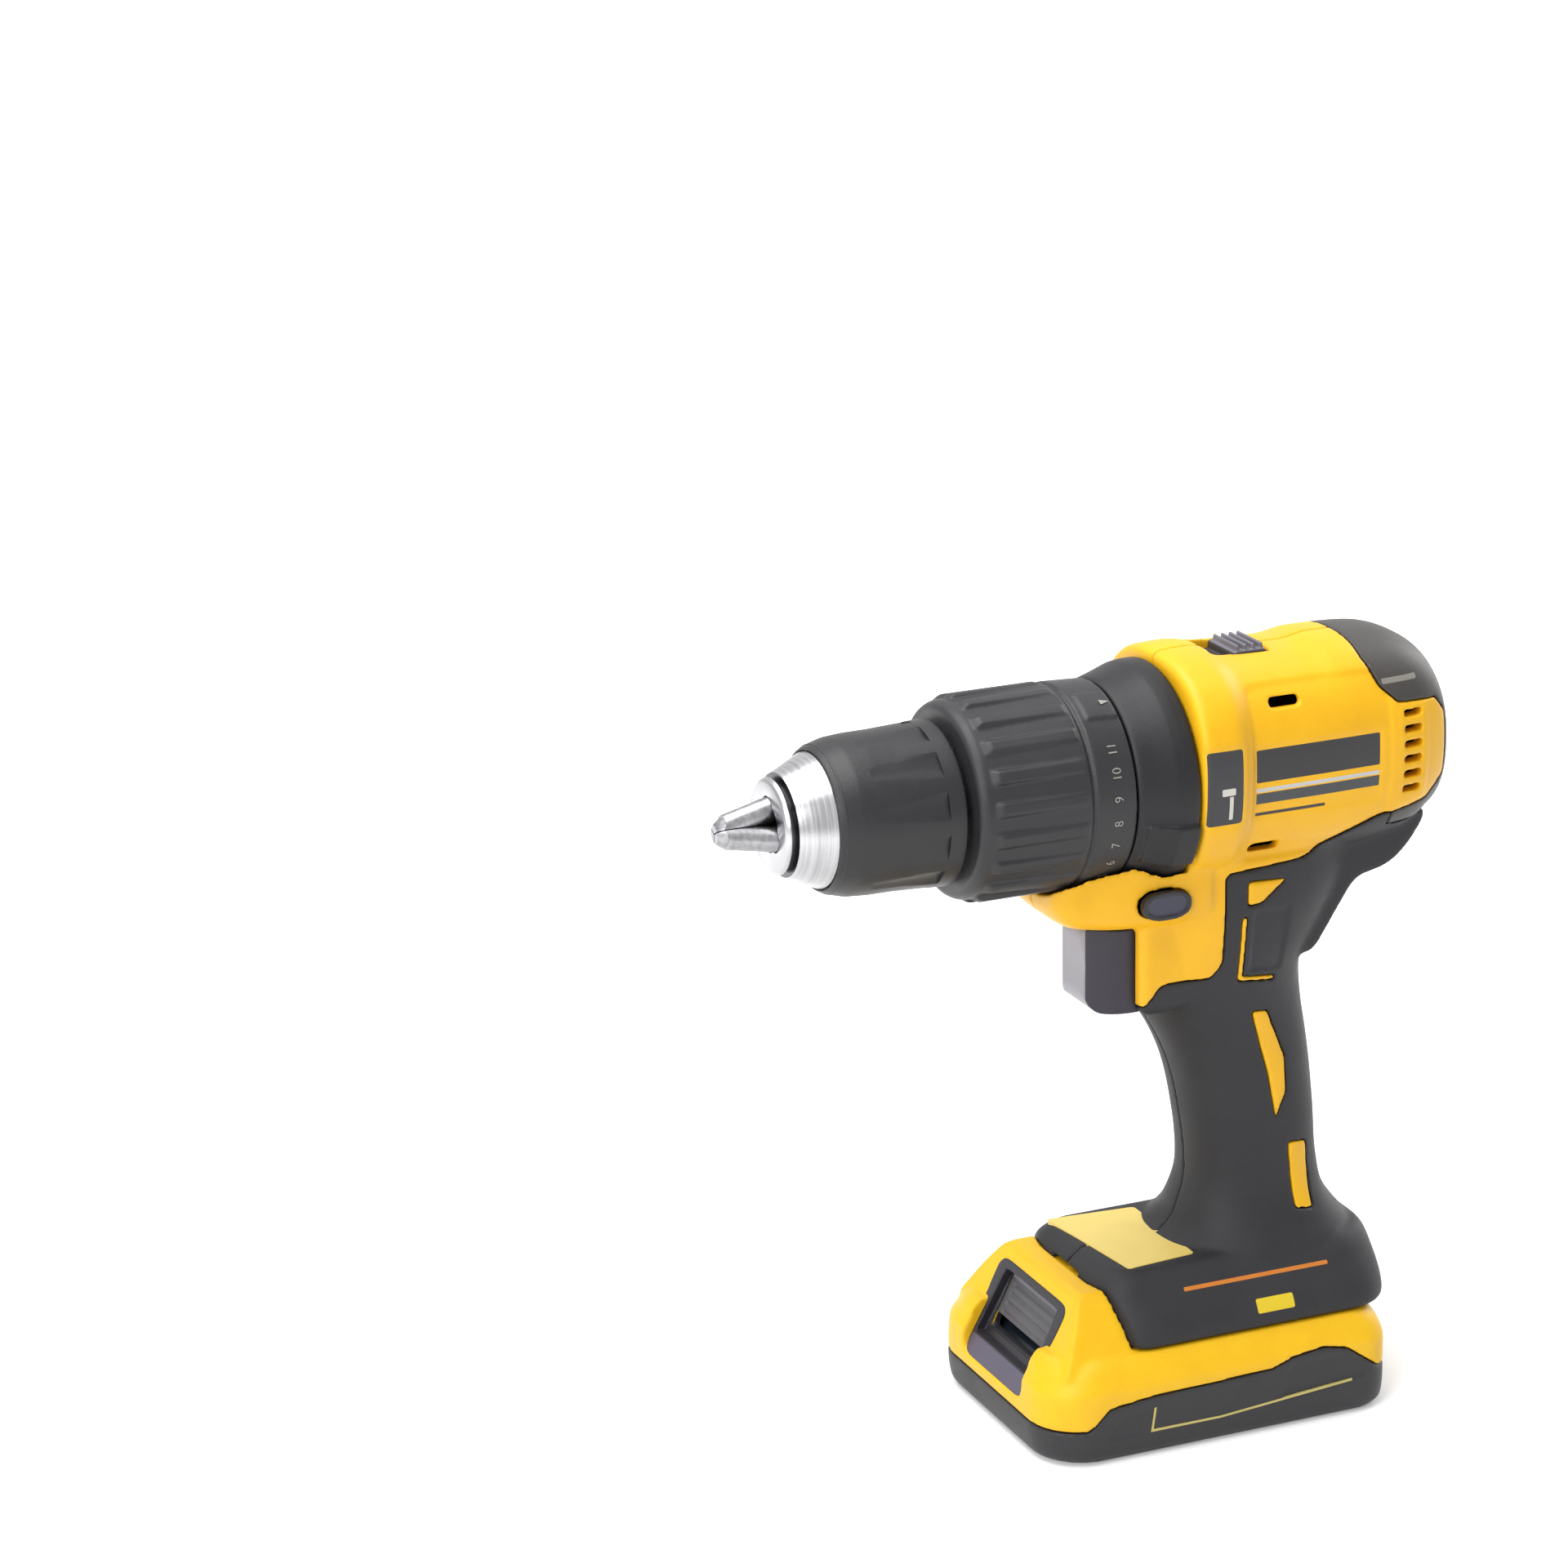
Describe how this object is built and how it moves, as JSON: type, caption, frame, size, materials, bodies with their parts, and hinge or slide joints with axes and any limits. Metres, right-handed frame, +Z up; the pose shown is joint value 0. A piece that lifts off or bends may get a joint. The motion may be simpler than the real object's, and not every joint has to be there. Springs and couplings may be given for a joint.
{
  "type": "cordless drill",
  "caption": "Compact cordless drill driver: keyless three-jaw chuck, torque and mode collars, planetary gearbox, motor, pistol grip with trigger and a slide-on battery.",
  "frame": {"origin": "middle of the base: under the middle of the bounding box, on the surface that the battery stands on", "axes": "+X from the chuck to the rear of the motor, +Y to the right-hand side seen from behind the chuck's opposite end, +Z up; the spindle axis runs along X at Z = 177 mm, Y = 0"},
  "size_m": [0.2036, 0.075, 0.2096],
  "materials": {
    "housing_left": "fine moulded texture, semi-matt",
    "housing_right": "fine moulded texture, semi-matt",
    "grip_left": "soft overmould, matt",
    "grip_right": "soft overmould, matt",
    "rear_cap": "fine moulded texture",
    "gear_case": "fine moulded texture",
    "ring_gear_output": "oiled, dark",
    "spindle_bearing": "machined",
    "clutch_washer": "machined",
    "clutch_spring": "oiled, dark",
    "stator_core": "oiled, dark",
    "stator_windings": "enamelled copper wire",
    "motor_plate": "machined",
    "rear_bearing": "machined",
    "switch_body": "fine moulded texture",
    "control_board": "solder mask",
    "terminal_block": "fine moulded texture",
    "worklight": "clear lens",
    "screw_top": "oiled, dark",
    "screw_front": "oiled, dark",
    "screw_rear": "oiled, dark",
    "screw_handle": "oiled, dark",
    "screw_base": "oiled, dark",
    "speed_button": "fine moulded texture",
    "shift_fork": "machined",
    "ring_gear_shift": "oiled, dark",
    "torque_collar": "fine moulded texture",
    "clutch_nut": "oiled, dark",
    "mode_collar": "fine moulded texture",
    "spindle": "machined",
    "output_carrier": "oiled, dark",
    "chuck_body": "machined",
    "chuck_screw": "oiled, dark",
    "chuck_sleeve": "fine moulded texture",
    "chuck_nut": "oiled, dark",
    "jaw_1": "machined",
    "jaw_2": "machined",
    "jaw_3": "machined",
    "rotor_core": "oiled, dark",
    "rotor_shaft": "machined",
    "fan": "fine moulded texture",
    "pinion": "machined",
    "input_carrier": "oiled, dark",
    "planet_output_1": "machined",
    "planet_output_2": "machined",
    "planet_output_3": "machined",
    "planet_input_1": "machined",
    "planet_input_2": "machined",
    "planet_input_3": "machined",
    "direction_button": "fine moulded texture",
    "trigger": "fine moulded texture",
    "battery_base": "fine moulded texture",
    "battery_cover": "fine moulded texture, semi-matt",
    "cell_1": "shrink sleeve",
    "cell_2": "shrink sleeve",
    "cell_3": "shrink sleeve",
    "cell_4": "shrink sleeve",
    "cell_5": "shrink sleeve",
    "release_button": "matt"
  },
  "bodies": {
    "housing": {"housing_left": "housing_left", "housing_right": "housing_right", "grip_left": "grip_left", "grip_right": "grip_right", "rear_cap": "rear_cap", "gear_case": "gear_case", "ring_gear_output": "ring_gear_output", "spindle_bearing": "spindle_bearing", "clutch_washer": "clutch_washer", "clutch_spring": "clutch_spring", "stator_core": "stator_core", "stator_windings": "stator_windings", "motor_plate": "motor_plate", "rear_bearing": "rear_bearing", "switch_body": "switch_body", "control_board": "control_board", "terminal_block": "terminal_block", "worklight": "worklight", "screw_top": "screw_top", "screw_front": "screw_front", "screw_rear": "screw_rear", "screw_handle": "screw_handle", "screw_base": "screw_base"},
    "speed_selector": {"speed_button": "speed_button", "shift_fork": "shift_fork", "ring_gear_shift": "ring_gear_shift"},
    "torque_collar": {"torque_collar": "torque_collar"},
    "clutch_nut": {"clutch_nut": "clutch_nut"},
    "mode_collar": {"mode_collar": "mode_collar"},
    "spindle": {"spindle": "spindle", "output_carrier": "output_carrier", "chuck_body": "chuck_body", "chuck_screw": "chuck_screw"},
    "chuck_sleeve": {"chuck_sleeve": "chuck_sleeve", "chuck_nut": "chuck_nut"},
    "jaw_1": {"jaw_1": "jaw_1"},
    "jaw_2": {"jaw_2": "jaw_2"},
    "jaw_3": {"jaw_3": "jaw_3"},
    "rotor": {"rotor_core": "rotor_core", "rotor_shaft": "rotor_shaft", "fan": "fan", "pinion": "pinion"},
    "input_carrier": {"input_carrier": "input_carrier"},
    "planet_output_1": {"planet_output_1": "planet_output_1"},
    "planet_output_2": {"planet_output_2": "planet_output_2"},
    "planet_output_3": {"planet_output_3": "planet_output_3"},
    "planet_input_1": {"planet_input_1": "planet_input_1"},
    "planet_input_2": {"planet_input_2": "planet_input_2"},
    "planet_input_3": {"planet_input_3": "planet_input_3"},
    "direction_button": {"direction_button": "direction_button"},
    "trigger": {"trigger": "trigger"},
    "battery": {"battery_base": "battery_base", "battery_cover": "battery_cover", "cell_1": "cell_1", "cell_2": "cell_2", "cell_3": "cell_3", "cell_4": "cell_4", "cell_5": "cell_5"},
    "release_button": {"release_button": "release_button"}
  },
  "joints": [
    {"name": "spindle_spin", "type": "hinge", "parent": "housing", "child": "spindle", "pos_m": [0, 0, 0.177], "axis": [1, 0, 0], "continuous": true},
    {"name": "chuck_sleeve_turn", "type": "hinge", "parent": "spindle", "child": "chuck_sleeve", "pos_m": [0, 0, 0.177], "axis": [1, 0, 0], "range_deg": [0, 2880]},
    {"name": "jaw_1_slide", "type": "slide", "parent": "spindle", "child": "jaw_1", "axis": [0.9703, 0, 0.2419], "range_m": [0, 0.02687]},
    {"name": "jaw_2_slide", "type": "slide", "parent": "spindle", "child": "jaw_2", "axis": [0.9703, -0.2095, -0.121], "range_m": [0, 0.02687]},
    {"name": "jaw_3_slide", "type": "slide", "parent": "spindle", "child": "jaw_3", "axis": [0.9703, 0.2095, -0.121], "range_m": [0, 0.02687]},
    {"name": "torque_collar_turn", "type": "hinge", "parent": "housing", "child": "torque_collar", "pos_m": [0, 0, 0.177], "axis": [1, 0, 0], "range_deg": [0, 280]},
    {"name": "clutch_nut_slide", "type": "slide", "parent": "torque_collar", "child": "clutch_nut", "axis": [1, 0, 0], "range_m": [0, 0.004], "deforming": ["clutch_spring"]},
    {"name": "mode_collar_turn", "type": "hinge", "parent": "housing", "child": "mode_collar", "pos_m": [0, 0, 0.177], "axis": [1, 0, 0], "range_deg": [-60, 0]},
    {"name": "speed_selector_slide", "type": "slide", "parent": "housing", "child": "speed_selector", "axis": [-1, 0, 0], "range_m": [0, 0.006]},
    {"name": "rotor_spin", "type": "hinge", "parent": "housing", "child": "rotor", "pos_m": [0, 0, 0.177], "axis": [1, 0, 0], "continuous": true},
    {"name": "input_carrier_spin", "type": "hinge", "parent": "housing", "child": "input_carrier", "pos_m": [0, 0, 0.177], "axis": [1, 0, 0], "continuous": true},
    {"name": "planet_output_1_spin", "type": "hinge", "parent": "spindle", "child": "planet_output_1", "pos_m": [0, 0.0108, 0.177], "axis": [1, 0, 0], "continuous": true},
    {"name": "planet_output_2_spin", "type": "hinge", "parent": "spindle", "child": "planet_output_2", "pos_m": [0, -0.0054, 0.18635], "axis": [1, 0, 0], "continuous": true},
    {"name": "planet_output_3_spin", "type": "hinge", "parent": "spindle", "child": "planet_output_3", "pos_m": [0, -0.0054, 0.16765], "axis": [1, 0, 0], "continuous": true},
    {"name": "planet_input_1_spin", "type": "hinge", "parent": "input_carrier", "child": "planet_input_1", "pos_m": [0, 0.0108, 0.177], "axis": [1, 0, 0], "continuous": true},
    {"name": "planet_input_2_spin", "type": "hinge", "parent": "input_carrier", "child": "planet_input_2", "pos_m": [0, -0.0054, 0.18635], "axis": [1, 0, 0], "continuous": true},
    {"name": "planet_input_3_spin", "type": "hinge", "parent": "input_carrier", "child": "planet_input_3", "pos_m": [0, -0.0054, 0.16765], "axis": [1, 0, 0], "continuous": true},
    {"name": "trigger_pull", "type": "slide", "parent": "housing", "child": "trigger", "axis": [1, 0, 0], "range_m": [0, 0.0065], "stiffness_N_per_m": 400, "springref_m": -0.01},
    {"name": "direction_slide", "type": "slide", "parent": "housing", "child": "direction_button", "axis": [0, 1, 0], "range_m": [-0.003, 0.003]},
    {"name": "battery_slide", "type": "slide", "parent": "housing", "child": "battery", "axis": [-1, 0, 0], "range_m": [0, 0.09]},
    {"name": "release_press", "type": "slide", "parent": "battery", "child": "release_button", "axis": [0, 0, -1], "range_m": [0, 0.0035], "stiffness_N_per_m": 800, "springref_m": -0.003}
  ],
  "couplings": [
    {"joint": "jaw_1_slide", "follows": "chuck_sleeve_turn", "m_per_rad": 0.00053452},
    {"joint": "jaw_2_slide", "follows": "chuck_sleeve_turn", "m_per_rad": 0.00053452},
    {"joint": "jaw_3_slide", "follows": "chuck_sleeve_turn", "m_per_rad": 0.00053452},
    {"joint": "clutch_nut_slide", "follows": "torque_collar_turn", "m_per_rad": 0.0008185},
    {"joint": "input_carrier_spin", "follows": "spindle_spin", "ratio": 5.3333},
    {"joint": "rotor_spin", "follows": "spindle_spin", "ratio": 28.444},
    {"joint": "planet_output_1_spin", "follows": "spindle_spin", "ratio": -2.6},
    {"joint": "planet_output_2_spin", "follows": "spindle_spin", "ratio": -2.6},
    {"joint": "planet_output_3_spin", "follows": "spindle_spin", "ratio": -2.6},
    {"joint": "planet_input_1_spin", "follows": "spindle_spin", "ratio": -13.867},
    {"joint": "planet_input_2_spin", "follows": "spindle_spin", "ratio": -13.867},
    {"joint": "planet_input_3_spin", "follows": "spindle_spin", "ratio": -13.867}
  ]
}
